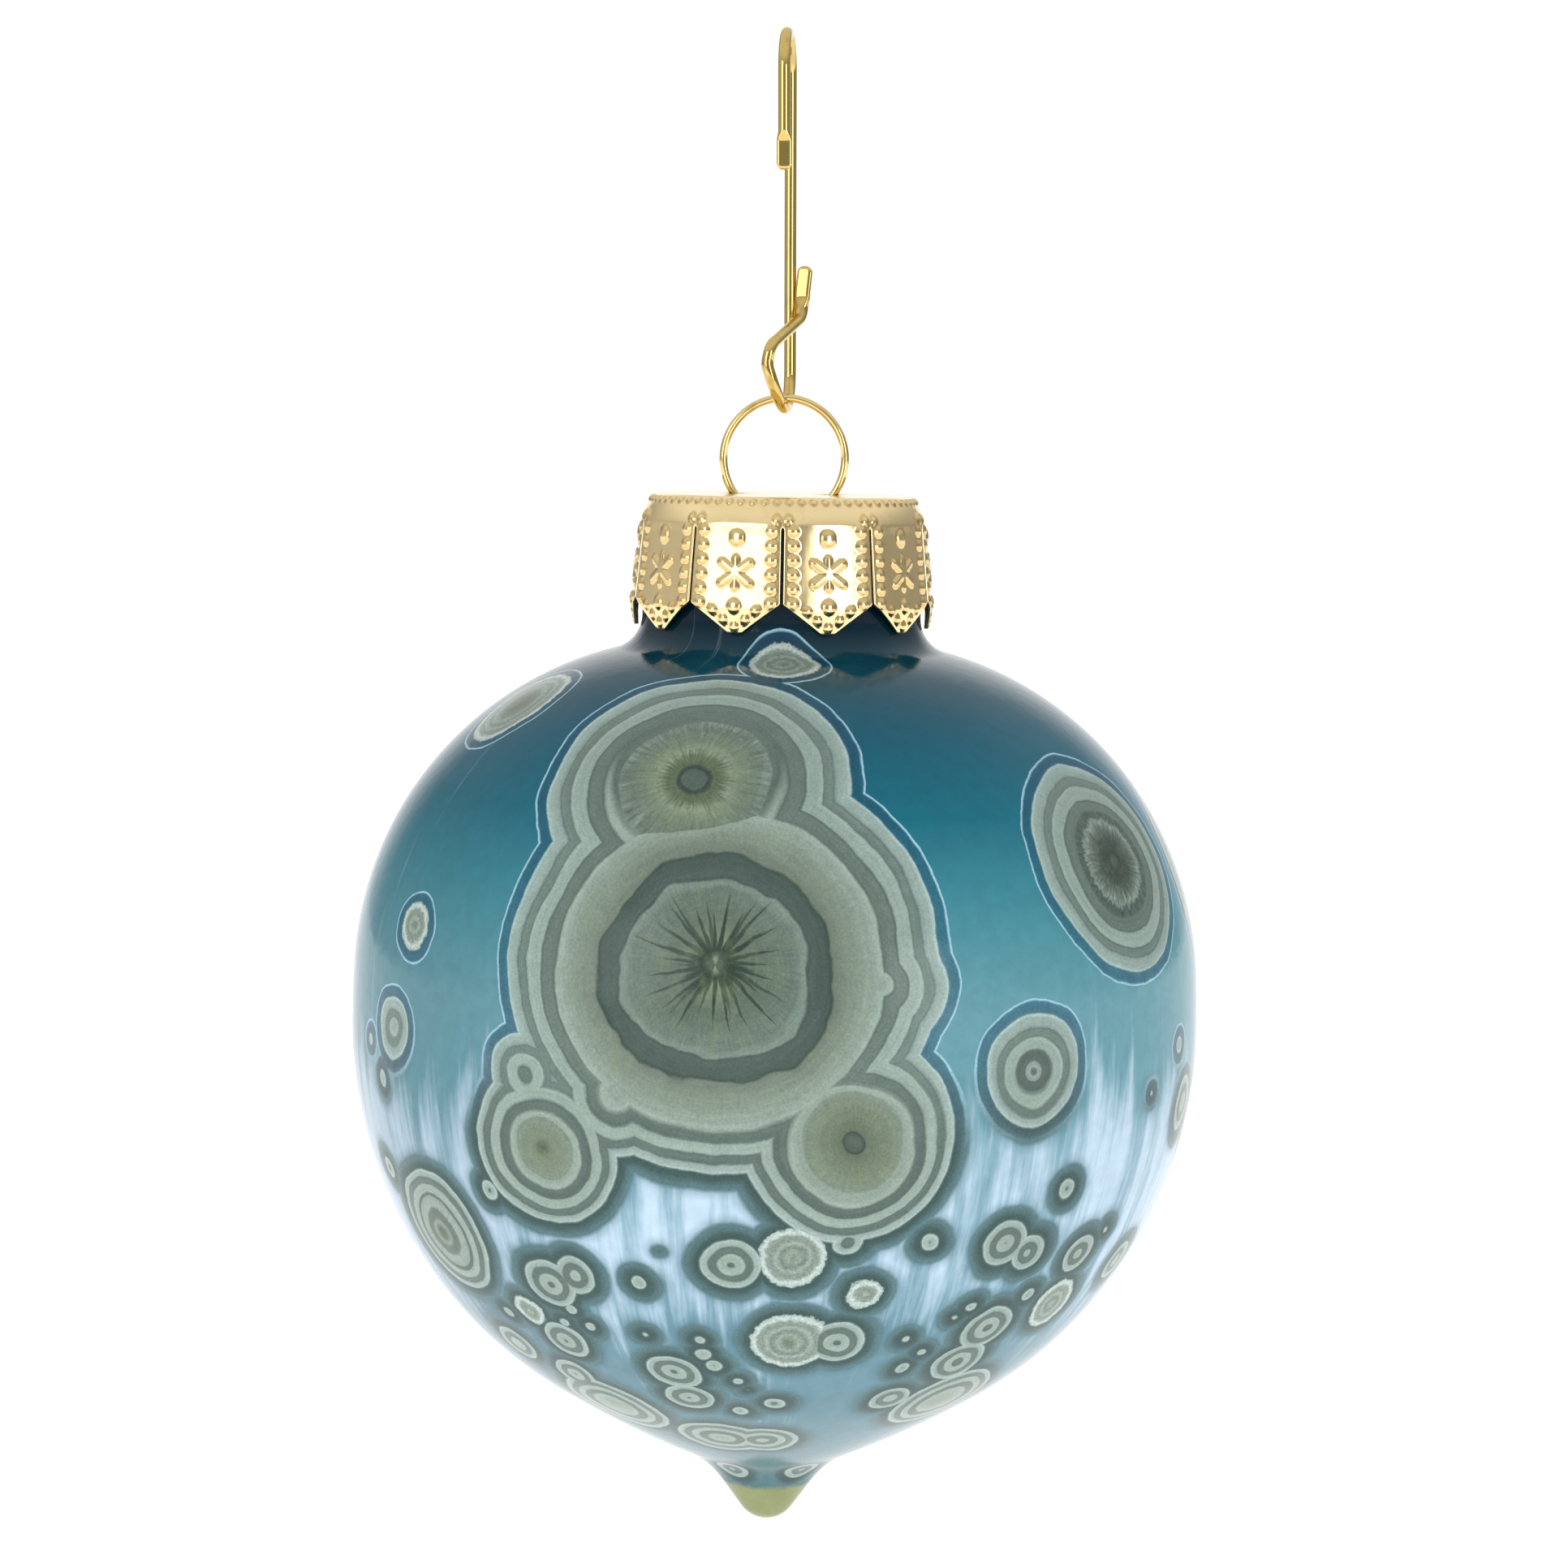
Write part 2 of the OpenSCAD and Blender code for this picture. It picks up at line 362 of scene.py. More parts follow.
SMOOTH_CRYSTALS = [
    MAIN, UPPER, LOW_RIGHT, LOW_LEFT, RIGHT, RIGHT_LOW, LEFT_LOW,
    # Buds that swell the large crystals' outlines
    (13.5, 36, 6.4), (-20, 44.6, 6.2), (-33, 43.8, 4.4), (-40.5, 53.7, 1.9), (10.5, 56, 2.2),
    # The left side
    (-59.5, 42.3, 3.6), (-63, 46.6, 1.8), (-67.5, 44, 1.6), (-67.5, 54.4, 2),
    # Two grown together under the lower left one, and those around them
    (-34, 61, 3.4), (-29, 60, 2.9), (-32, 63.2, 1.6), (-47.5, 64.7, 1.6), (-30, 64.7, 1.5),
    (-36.5, 66.4, 3.1), (-34.5, 64.6, 1.5), (-53, 68, 3), (-41, 70, 3),
    (-39, 73, 5.6), (-14, 75.6, 4.7), (-30, 80.6, 2.4),
    # The middle, from the left to the right
    (-18.5, 60, 1.7), (-20, 64.7, 1.3), (-11, 64.8, 1.5), (-11, 66.2, 1.7), (-9.5, 67.2, 1.7),
    (-17, 68.2, 3.2), (-16, 70.8, 3), (-6, 68.7, 1.5), (-4, 69.7, 1.1), (-5.5, 72, 1.7),
    (-5.5, 58, 3.4), (-15, 57.2, 0.4), (22, 56.3, 1.8), (11, 64.8, 3.3),
    (34, 57, 3.2), (39, 58, 2.7), (43, 53, 1.9), (50.5, 59, 2.8), (43, 62, 1.7),
    (32, 62.2, 1.5), (30, 63, 1.3), (37.5, 64.5, 3.4), (36, 67.7, 3.5),
    (22.5, 65, 1.4), (26.5, 66.3, 1.5), (24, 67.8, 1.7), (2, 71, 1.9), (25.5, 71, 2.8),
    (42, 72, 5.7), (-1.5, 75.7, 4.1), (30, 80.6, 2.4),
    # The right edge
    (59.5, 46.3, 1.3), (68.5, 43.4, 1.8), (55.5, 57.3, 1.4), (66.5, 61, 2.9), (73, 48.4, 3.4),
]
# Crystals with a white, crumbly edge
ROUGH_CRYSTALS = [
    (0.5, 13.1, 3.9), (-68, 17, 5.6), (-56, 34, 2.9), (-41, 64, 2.5), (3.2, 57.4, 3.7),
    (13.5, 60.5, 2.4), (3.4, 64.7, 4.1), (51, 63.4, 3.4),
]

# How thick a crystal's bands are, by millimetres below the cap: (place, share of full thickness)
BAND_SHARE = [(10, 1.25), (22, 1.1), (35, 1.0), (44, 0.86), (50, 0.76), (60, 0.68), (72, 0.6)]
RIM_WIDTH = 1.05
BANDED_DEPTH = 6.0

# Crystals for the sides and back: how many, millimetres below the cap, give or take, and the
# least and greatest radius
BACK_CRYSTALS = [
    (1, 34, 8, 15, 18), (2, 30, 12, 10, 13), (3, 44, 8, 7, 9), (5, 44, 16, 4, 6),
    (5, 70, 5, 4, 5.5), (20, 63, 10, 2.4, 3.6), (24, 64, 12, 1.2, 2),
]
PLACING_TRIES = 60
FRONT_EDGE = 75

# The clear glaze's colour by millimetres below the cap: dark above, paler below
CLEAR_COLOURS = [
    (9, "#0a2233"), (11.5, "#0f3340"), (13, "#134555"), (18, "#0c5b70"), (24, "#136e82"),
    (29, "#3b8797"), (33, "#5394a1"), (38, "#689da9"), (46, "#669ca9"), (53, "#75a1b1"),
    (60, "#6e98a8"), (68, "#6c919e"), (75, "#628893"), (79, "#587d84"), (83, "#54787a"),
]

# Bands by depth inside a crystal's edge: near the edge at the top and at the bottom of the drop,
# then further in, then those of the rough crystals
TOP_BANDS = [
    (0.0, "#a3cfdd"), (0.12, "#a3cfdd"), (0.28, "#2c6484"), (0.85, "#2b5c78"),
    (1.02, "#3f6a80"), (1.16, "#adc6c3"), (1.4, "#9aafa8"), (1.9, "#93a8a1"), (2.1, "#8c9f98"),
    (2.25, "#667a78"), (2.4, "#74877f"), (2.85, "#70837c"), (2.95, "#65786f"), (3.1, "#9db1a7"),
    (3.6, "#93a79e"), (4.1, "#97aaa0"), (4.25, "#5c6f68"), (4.45, "#6b7d75"), (5.2, "#697a72"),
    (5.4, "#5f7068"), (5.6, "#9db0a4"), (6.1, "#91a296"), (6.8, "#85958a"),
]
BOTTOM_BANDS = [
    (0.0, "#58787d"), (0.3, "#4f6b6d"), (0.6, "#435b5a"), (0.95, "#3d5453"),
    (1.08, "#667a76"), (1.2, "#a9bdb7"), (1.5, "#99aca5"), (1.85, "#93a69f"), (2.05, "#5f706b"),
    (2.6, "#65766f"), (2.8, "#5e6f68"), (3.0, "#9aaca3"), (3.9, "#94a69c"), (4.1, "#586963"),
    (5.1, "#5f7069"), (5.4, "#98aa9e"), (6.1, "#8fa094"), (6.8, "#85958a"),
]
DEEP_BANDS = [
    (6.2, "#93a498"), (7.4, "#839386"), (9.1, "#728073"), (9.3, "#42524b"), (9.55, "#4a5b55"),
    (10.8, "#51625c"), (11.05, "#4a5a54"), (11.25, "#7d8f85"), (11.6, "#788a7f"),
    (12.0, "#6c7d73"), (14, "#667669"), (17, "#5d6d60"), (20, "#4f5f54"),
]
CRUST_BANDS = [
    (0.95, "#6f8781"), (1.1, "#b3c4c0"), (1.35, "#c3d1cb"), (1.6, "#8c9c92"), (2.0, "#7f8f85"),
    (2.3, "#9bab9f"), (2.7, "#74847a"), (3.2, "#93a296"), (3.8, "#6d7c6c"), (5, "#5c6a57"),
]

# The largest crystals' hearts: radius, strength of the fibres, colours from the nucleus out
HEARTS = [
    (UPPER, 6.2, 1.0, [(0, "#55665f"), (0.9, "#56665f"), (1.1, "#3d4c46"), (1.3, "#44534a"),
                       (1.5, "#5f6d55"), (2.2, "#66745b"), (3.0, "#889781"), (3.7, "#7a8a75"),
                       (5.2, "#6f7f73"), (6.1, "#7d8e83")]),
    (LOW_RIGHT, 4.0, 0.3, [(0, "#596860"), (0.7, "#4f5d54"), (0.85, "#424f47"), (0.98, "#647360"),
                           (1.6, "#6b7965"), (3, "#788673"), (3.9, "#7f8f80")]),
    (LOW_LEFT, 2.6, 0.3, [(0, "#4a5744"), (0.5, "#687560"), (1, "#7b8975"), (2.5, "#7f8e80")]),
    (RIGHT, 4.6, 0.9, [(0, "#5f6d60"), (0.8, "#3f4c45"), (1.8, "#47544d"), (2.6, "#5f6e65"),
                       (3.1, "#74857a"), (3.5, "#8c9d93"), (3.8, "#52625b"), (4.6, "#5a6b63")]),
    (LEFT_LOW, 3.2, 0.6, [(0, "#4e5c50"), (0.6, "#5f6e61"), (1.0, "#8a9b8f"), (1.4, "#5d6d64"),
                          (2.0, "#62726a"), (2.3, "#93a59b"), (3.2, "#8b9c92")]),
    (RIGHT_LOW, 1.8, 0.1, [(0, "#4f5f5a"), (0.25, "#66766f"), (0.4, "#93a49d"), (0.7, "#8d9e97"),
                           (0.85, "#5a6a64"), (1.55, "#586761"), (1.75, "#73857e")]),
]

# The dark needles round the main crystal's nucleus: how many, an offset that picks their random
# places, least and greatest length, and darkness
NEEDLES = [(23, 40.3, 3.6, 7.4, 0.85), (17, 71.8, 2.6, 6.6, 0.7)]


def back_crystals(seed=7):
    """Crystals for the sides and back that the front doesn't show, sized as the front's are."""
    rng = random.Random(seed)
    shown = [(on_drop(a, d), r) for a, d, r in SMOOTH_CRYSTALS + ROUGH_CRYSTALS]
    wanted = [kind for count, *kind in BACK_CRYSTALS for _ in range(count)]
    placed = []
    for middle, spread, least, most in wanted:
        for _ in range(PLACING_TRIES):
            azimuth = rng.uniform(80, 280)
            drop = middle + rng.uniform(-spread, spread)
            radius = rng.uniform(least, most)
            centre = on_drop(azimuth, drop)
            inside = min(azimuth, 360 - azimuth) - FRONT_EDGE
            reach = drop_radius(centre[2]) * math.radians(inside)
            clear = all(
                math.dist(centre, other) > 0.7 * (radius + size) for other, size in shown + placed)
            if clear and reach > radius * 0.9:
                placed.append((centre, radius))
                break
    return placed


def shaded_point(g):
    """What every part of the glaze starts from, at the point that is shaded."""
    place = g.place()
    wide = g.vector("SUBTRACT", g.noise(place, 0.16, 1.5, colour=True), (0.5, 0.5, 0.5))
    fine = g.vector("SUBTRACT", g.noise(place, 0.9, 2.0, colour=True), (0.5, 0.5, 0.5))
    wavy = g.vector("ADD", place, g.vector("SCALE", wide, scale=1.1))
    parts = g.separate(place)
    across = g.combine(g.minus(parts["X"], AXIS_X), parts["Y"], 0.0)
    drop = g.minus(CAP_Z, parts["Z"])
    return SimpleNamespace(
        place=place,
        wavy=g.vector("ADD", wavy, g.vector("SCALE", fine, scale=0.22)),
        drop=drop,
        low=g.step(drop, 40, 50),
        radius=g.vector("LENGTH", across),
        around=g.separate(g.vector("NORMALIZE", across)),
        grain=g.noise(place, 5.0, 3.0, 0.7),
        mottle=g.noise(place, 0.8, 3.0, 0.6),
    )


def find_crystals(g, at):
    """Adds how deep the point is inside each front crystal's edge, its distance from their middles,
    the greatest depth of any crystal, and whether that one is a rough crystal."""
    at.own, at.away = {}, {}
    at.field, rough = -9.0, -9.0
    front = [(on_drop(a, d), r, (a, d, r)) for a, d, r in SMOOTH_CRYSTALS]
    back = [(centre, r, None) for centre, r in back_crystals()]
    for centre, radius, key in front + back:
        away = g.vector("DISTANCE", at.wavy, centre)
        own = g.minus(radius, away)
        if key == MAIN:
            # The main crystal is a little shorter below its middle.
            below = g.minus(centre[2], g.separate(at.wavy)["Z"])
            own = g.minus(own, g.step(below, 3.0, 16.0, 0.0, 1.3))
        if key == UPPER:
            # The upper one's bands are thicker near its heart.
            own = g.minus(own, g.step(own, 5.8, 7.4, 0.0, 1.4))
        at.field = g.math("MAXIMUM", at.field, own)
        if key:
            at.own[key], at.away[key] = own, away
    for a, d, radius in ROUGH_CRYSTALS:
        away = g.vector("DISTANCE", at.wavy, on_drop(a, d))
        rough = g.math("MAXIMUM", rough, g.minus(radius, away))
    at.is_rough = g.step(g.minus(rough, at.field), -0.1, 0.0)
    at.field = g.math("MAXIMUM", at.field, rough)


def find_depth(g, at):
    """Adds the depth that the bands are read from, in which they grow thinner down the drop."""
    # A ramp's stops hold 1 at most, so the shares are halved and doubled again.
    share = g.times(g.ramp(at.drop, (0, 90), [(p, s / 2) for p, s in BAND_SHARE]), 2.0)
    beyond_rim = g.math("MAXIMUM", g.minus(at.field, RIM_WIDTH), 0.0)
    banded = g.math("MINIMUM", g.math("DIVIDE", beyond_rim, share), BANDED_DEPTH)
    deep = g.math("MAXIMUM", g.minus(beyond_rim, g.times(share, BANDED_DEPTH)), 0.0)
    at.depth = g.plus(g.math("MINIMUM", at.field, RIM_WIDTH), g.plus(banded, deep))


def owned(g, at, key):
    """1 where a crystal's own field is the greatest one."""
    return g.step(g.minus(at.own[key], at.field), -0.12, -0.02)


def clear_glaze(g, at):
    """The glaze between crystals, with runs of whitish blue, a halo round low crystals, and painted
    shade that makes its left side darker.
    """
    ground = g.ramp(at.drop, (8, 90), CLEAR_COLOURS)
    run_place = g.combine(
        g.times(at.around["X"], 30.0), g.times(at.around["Y"], 30.0), g.times(at.drop, 0.085))
    runs = g.noise(run_place, 0.75, 4.0, 0.62)
    heavy = g.noise(run_place, 0.16, 2.0, 0.5)
    runs = g.plus(runs, g.times(g.minus(heavy, 0.5), 0.5))
    where = g.times(g.step(at.drop, 38, 52), g.step(at.drop, 56, 72, 1.0, 0.2))
    runs = g.plus(runs, g.times(g.minus(where, 1.0), 0.45))
    ground = g.mix(g.step(runs, 0.2, 0.62, 0.0, 0.92), ground, "#c9e0f2")
    halo = g.times(g.step(at.field, -1.3, -0.1, 0.0, 0.5), at.low)
    ground = g.mix(halo, ground, "#507784")
    ground = g.tint(ground, g.step(at.mottle, 0.2, 0.8, 0.93, 1.07))
    # Painted shade: the clear glaze is darkened towards its left side, -X, down to 0.76 of its colour.
    return g.tint(ground, g.step(at.around["X"], -0.95, -0.3, 0.76, 1.0))


def banded(g, at, ground):
    """The crystals' bands, from their edges inwards."""
    rim = g.times(g.step(at.depth, 0.15, 0.3), g.step(at.depth, 1.0, 1.1, 0.6, 0.0))
    edge = g.mix(rim, g.ramp(at.depth, (0, 7), TOP_BANDS), g.tint(ground, 0.68))
    edge = g.mix(at.low, edge, g.ramp(at.depth, (0, 7), BOTTOM_BANDS))
    swell = g.times(g.minus(g.noise(at.place, 0.22, 2.0, 0.5), 0.5), 2.4)
    swollen = g.plus(at.depth, g.times(swell, g.step(at.depth, 6.3, 8.0)))
    return g.mix(g.step(at.depth, 6.3, 6.7), edge, g.ramp(swollen, (6, 20), DEEP_BANDS))


def from_nucleus(g, at, key):
    """The offset of the point from a crystal's middle."""
    return g.vector("SUBTRACT", at.wavy, on_drop(key[0], key[1]))


def fibres(g, at, key, fineness, drift, *noise):
    """Noise from -0.5 to 0.5, drawn out into lines that run from a crystal's nucleus."""
    direction = g.vector("NORMALIZE", from_nucleus(g, at, key))
    place = g.vector("ADD", g.vector("SCALE", direction, scale=fineness),
                     g.vector("SCALE", at.wavy, scale=drift))
    return g.minus(g.noise(place, *noise), 0.5)


def add_hearts(g, at, crystal):
    """The largest crystals' hearts."""
    for key, reach, strength, stops in HEARTS:
        out = at.away[key]
        fibre = fibres(g, at, key, 7.0, 0.12, 2.2, 3.0, 0.65)
        shift = g.times(fibre, g.step(out, 1.4, 3.0, 0.0, 2.2 * strength))
        heart = g.ramp(g.plus(out, shift), (0, reach), stops)
        heart = g.tint(heart, g.plus(1.0, g.times(fibre, 1.3 * strength)))
        inside = g.times(owned(g, at, key), g.step(out, 0.96 * reach, reach, 1.0, 0.0))
        crystal = g.mix(inside, crystal, heart)
    return crystal


def needle_mask(g, angle, out, count, shift, least, most, darkness):
    """Needles round a nucleus, each at a random place in its share of the turn."""
    turn = g.plus(g.times(angle, count / (2 * math.pi)), shift)
    luck = g.luck(g.math("FLOOR", turn))
    middle = g.plus(0.3, g.times(luck, 0.4))
    aside = g.math("ABSOLUTE", g.minus(g.math("FRACT", turn), middle))
    aside = g.times(aside, 2 * math.pi / count, out)
    length = g.plus(least, g.times(luck, most - least))
    taper = g.math("MAXIMUM", g.minus(1.0, g.math("DIVIDE", out, length)), 0.0)
    width = g.times(g.math("POWER", taper, 0.7), 0.26)
    needle = g.step(g.minus(aside, width), -0.08, 0.04, darkness, 0.0)
    return g.times(needle, g.step(taper, 0.0, 0.06))


def add_main_fibres(g, at, crystal):
    """The main crystal's fibres, a glow above and below its nucleus, and its dark needles."""
    out = at.away[MAIN]
    inside = owned(g, at, MAIN)
    fibre = fibres(g, at, MAIN, 12.0, 0.1, 2.6, 4.0, 0.7)
    strength = g.plus(g.step(out, 6.4, 7.2, 0.75, 0.0), g.step(out, 8.6, 10.5, 0.0, 0.28))
    crystal = g.tint(crystal, g.plus(1.0, g.times(fibre, strength, inside)))
    offset = from_nucleus(g, at, MAIN)
    sideways = g.vector("DOT_PRODUCT", offset, (cosd(MAIN[0]), sind(MAIN[0]), 0))
    angle = g.math("ARCTAN2", g.separate(offset)["Z"], sideways)
    upright = g.math("ABSOLUTE", g.math("SINE", angle))
    glow = g.times(g.step(upright, 0.85, 1.0, 0.0, 0.55), g.step(out, 0.4, 4.4, 1.0, 0.0))
    crystal = g.mix(g.times(glow, inside), crystal, "#a3b193")
    for row in NEEDLES:
        needle = g.times(needle_mask(g, angle, out, *row), inside, g.step(out, 0.3, 1.2))
        crystal = g.mix(needle, crystal, "#35443b")
    return crystal


def add_lines(g, at, crystal):
    """Fine lines in the bands, which follow the crystals' edges."""
    place = g.vector("ADD", g.combine(0.0, 0.0, g.times(at.depth, 3.2)),
                     g.vector("SCALE", at.place, scale=0.12))
    return g.tint(crystal, g.step(g.noise(place, 1.0, 3.0, 0.75), 0.3, 0.7, 0.93, 1.07))


def add_seam(g, at, crystal):
    """The dark seam where the main crystal met the upper one, and the pale edge below it."""
    gap = g.minus(at.own[MAIN], at.own[UPPER])
    near = g.times(g.step(at.depth, 6.6, 7.4), g.step(at.away[UPPER], 9.0, 7.5))
    dark = g.times(g.step(gap, -0.5, -0.05), g.step(gap, 0.05, -0.02))
    crystal = g.mix(g.times(dark, near, 0.45), crystal, "#46534a")
    pale = g.times(g.step(gap, -0.02, 0.08), g.step(gap, 1.6, 0.2))
    return g.mix(g.times(pale, near, 0.7), crystal, "#95a798")


def add_grain(g, at, crystal):
    """Olive patches deep inside, away from the dark ring, and a fine grain."""
    olive = g.times(g.step(at.mottle, 0.45, 0.75), g.step(at.depth, 6.3, 7.2, 0.0, 0.3))
    off_ring = g.plus(g.step(at.depth, 8.6, 9.2, 1.0, 0.0), g.step(at.depth, 11.2, 11.8))
    crystal = g.mix(g.times(olive, off_ring), crystal, "#7d8a66")
    crystal = g.tint(crystal, g.step(at.grain, 0.25, 0.75, 0.86, 1.14))
    return g.tint(crystal, g.step(at.mottle, 0.25, 0.75, 0.95, 1.05))


def add_crust(g, at, crystal):
    """Rough crystals: a white crust, then crumbled bands."""
    crumbs = g.minus(g.noise(at.place, 1.7, 4.0, 0.75), 0.5)
    crumbled = g.plus(at.field, g.times(crumbs, 0.9))
    crust = g.tint(g.ramp(crumbled, (0, 5), CRUST_BANDS), g.step(at.grain, 0.3, 0.7, 0.8, 1.2))
    return g.mix(g.times(at.is_rough, g.step(crumbled, 0.9, 1.0)), crystal, crust)


def glaze():
    """Crystals in clear glaze, with an olive tip, and bare porcelain on the rim and in the bore."""
    g = Shader("crystalline_glaze")
    at = shaded_point(g)
    find_crystals(g, at)
    find_depth(g, at)
    ground = clear_glaze(g, at)
    crystal = banded(g, at, ground)
    for add in (add_hearts, add_main_fibres, add_lines, add_seam, add_grain, add_crust):
        crystal = add(g, at, crystal)
    softness = g.times(at.low, 0.55)
    shown = g.step(at.field, g.times(softness, -1.0), g.minus(0.08, g.times(softness, 0.3)))
    colour = g.mix(shown, ground, crystal)
    tip = g.step(g.plus(at.drop, g.times(at.mottle, 0.6)), 82.5, 83.1)
    colour = g.mix(tip, colour, g.tint("#949b6c", g.step(at.mottle, 0.2, 0.8, 0.92, 1.08)))
    within = g.step(at.radius, NECK_R - 0.6, NECK_R - 0.3, 1.0, 0.0)
    bare = g.times(within, g.step(at.drop, 12, 11, 0.0, 1.0))
    colour = g.mix(bare, colour, g.tint("#dcd9d0", g.step(at.mottle, 0.2, 0.8, 0.94, 1.04)))
    g.set(Base_Color=colour, IOR=1.5, Specular_IOR_Level=0.17,
          Roughness=g.step(at.grain, 0.2, 0.8, 0.1, 0.15))
    g.bump(g.plus(g.times(at.mottle, 0.6), g.times(at.grain, 0.05)), 0.1, 0.35)
    return g.material


# ------------------------ metals

def metal(name, light, deep, dull, roughness, relief=False):
    """Plated metal with dull tarnished patches. The deep colour is painted shade on the slopes of the
    mesh's stamped relief, or, where that is missing, lies in streaks."""
    g = Shader(name)
    place = g.place()
    cloud = g.noise(place, 0.35, 3.0, 0.6)
    scratch = g.noise(g.vector("MULTIPLY", place, (1.2, 1.2, 0.3)), 1.0, 2.0, 0.5)
    grain = g.noise(place, 9.0, 2.0, 0.6)
    colour = g.mix(g.step(cloud, 0.55, 0.8), light, dull)
    if relief:
        # Painted shade: the deep colour darkens the stamped relief's steep slopes, where the beads'
        # shadows fall.
        colour = g.mix(g.times(g.attribute("relief_edge"), 0.5), colour, deep)
    else:
        colour = g.mix(g.step(scratch, 0.55, 0.8, 0.0, 0.6), colour, deep)
    colour = g.tint(colour, g.step(grain, 0.25, 0.75, 0.97, 1.02))
    polish = g.step(scratch, 0.3, 0.75, *roughness)
    tarnish = g.step(cloud, 0.55, 0.85, 0.0, 0.08)
    g.set(Base_Color=colour, Metallic=1.0, Roughness=g.plus(polish, tarnish))
    g.bump(scratch, 0.006, 0.3)
    return g.material


# ------------------------ the cap

PETALS = 10
CAP_H = 10.9
SHEET = 0.3
TOP_R = 10.25
SHOULDER_DROP = 2.2
SHOULDER_PULL = (1.0, 0.3)
SKIRT_TOP_R, SKIRT_FLARE_R, SKIRT_TIP_R = 11.95, 12.65, 12.35
FLARE_DROP = 9
SLIT_TOP, PETAL_PART = 2.4, 8.5
SLIT_HALF = 0.125
TIP_HALF = 0.5
HOLE_R, HOLE_SIDES = 0.75, 32
# How far a petal is from round, at 0, to flat, at 1
FLATNESS = 0.45
PETAL_COLUMNS = 56
HALF_PITCH = math.pi * SKIRT_FLARE_R / PETALS
RING_BEADS = 7


def skirt_profile():
    """The skirt's outer outline: each point's radius, drop below the top and outward normal."""
    start, end = np.array((TOP_R, 0)), np.array((SKIRT_TOP_R, SHOULDER_DROP))
    control = start + SHOULDER_PULL
    points = []
    for t in np.linspace(0, 1, 21):
        points.append(tuple(start * (1 - t) ** 2 + 2 * control * t * (1 - t) + end * t ** 2))
    points += divided(points[-1], (SKIRT_FLARE_R, FLARE_DROP), 0.15)
    points += divided(points[-1], (SKIRT_TIP_R, CAP_H), 0.15)
    points = np.array(points)
    slope = np.gradient(points, axis=0)
    slope /= np.linalg.norm(slope, axis=1)[:, None]
    normal = np.stack([slope[:, 1], slope[:, 0]], axis=1)
    return points[:, 0], points[:, 1], normal


def dome(distance, radius, height):
    """A round bead's height at a distance from its middle."""
    share = np.clip(1 - (distance / radius) ** 2, 0, None)
    return height * np.sqrt(share)


def segment_distance(x, y, a, b):
    """Distance from points to the segment from a to b."""
    a, b = np.array(a, float), np.array(b, float)
    d = b - a
    t = np.clip(((x - a[0]) * d[0] + (y - a[1]) * d[1]) / (d @ d), 0, 1)
    return np.hypot(x - a[0] - t * d[0], y - a[1] - t * d[1])


def emboss(x, y, ring_share):
    """The stamped pattern's height. x is millimetres from the petal's middle line and y is the
    drop below the cap's top. ring_share goes from 0 to 1 over one petal, for the bead ring."""
    ring_x = ((ring_share * RING_BEADS) % 1 - 0.5) * 2 * HALF_PITCH / RING_BEADS
    height = dome(np.hypot(ring_x, (y - 0.42) * 1.5), 0.36, 0.16)
    for side in (-1, 1):
        for i in range(6):
            bead = (side * (HALF_PITCH - 0.95), 2.7 + 1.15 * i)
            height = np.maximum(height, dome(np.hypot(x - bead[0], y - bead[1]), 0.47, 0.2))
        for bead in ((side * (HALF_PITCH - 0.5), 1.75), (side * 1.85, 9.05), (side * 0.95, 9.8)):
            height = np.maximum(height, dome(np.hypot(x - bead[0], y - bead[1]), 0.42, 0.18))
        for end_y in (-0.85, 0.85):
            arm = segment_distance(x, y, (0, 6.05), (side * 1.2, 6.05 + end_y))
            height = np.maximum(height, dome(arm, 0.34, 0.19))
    height = np.maximum(height, dome(np.hypot(x, y - 10.4), 0.42, 0.18))
    height = np.maximum(height, dome(segment_distance(x, y, (0, 4.85), (0, 7.25)), 0.3, 0.17))
    height = np.maximum(height, dome(np.hypot(x, y - 3.25), 0.68, 0.24))
    height = np.maximum(height, dome(np.hypot(x, (y - 8.7) * 0.9), 0.56, 0.24))
    return height


def petal_half_width(drop):
    """Half a petal's width in millimetres, at a drop below the cap's top."""
    if drop <= SLIT_TOP:
        return HALF_PITCH
    if drop <= PETAL_PART:
        return HALF_PITCH - SLIT_HALF
    share = (drop - PETAL_PART) / (CAP_H - PETAL_PART)
    return (HALF_PITCH - SLIT_HALF) * (1 - share) + TIP_HALF * share


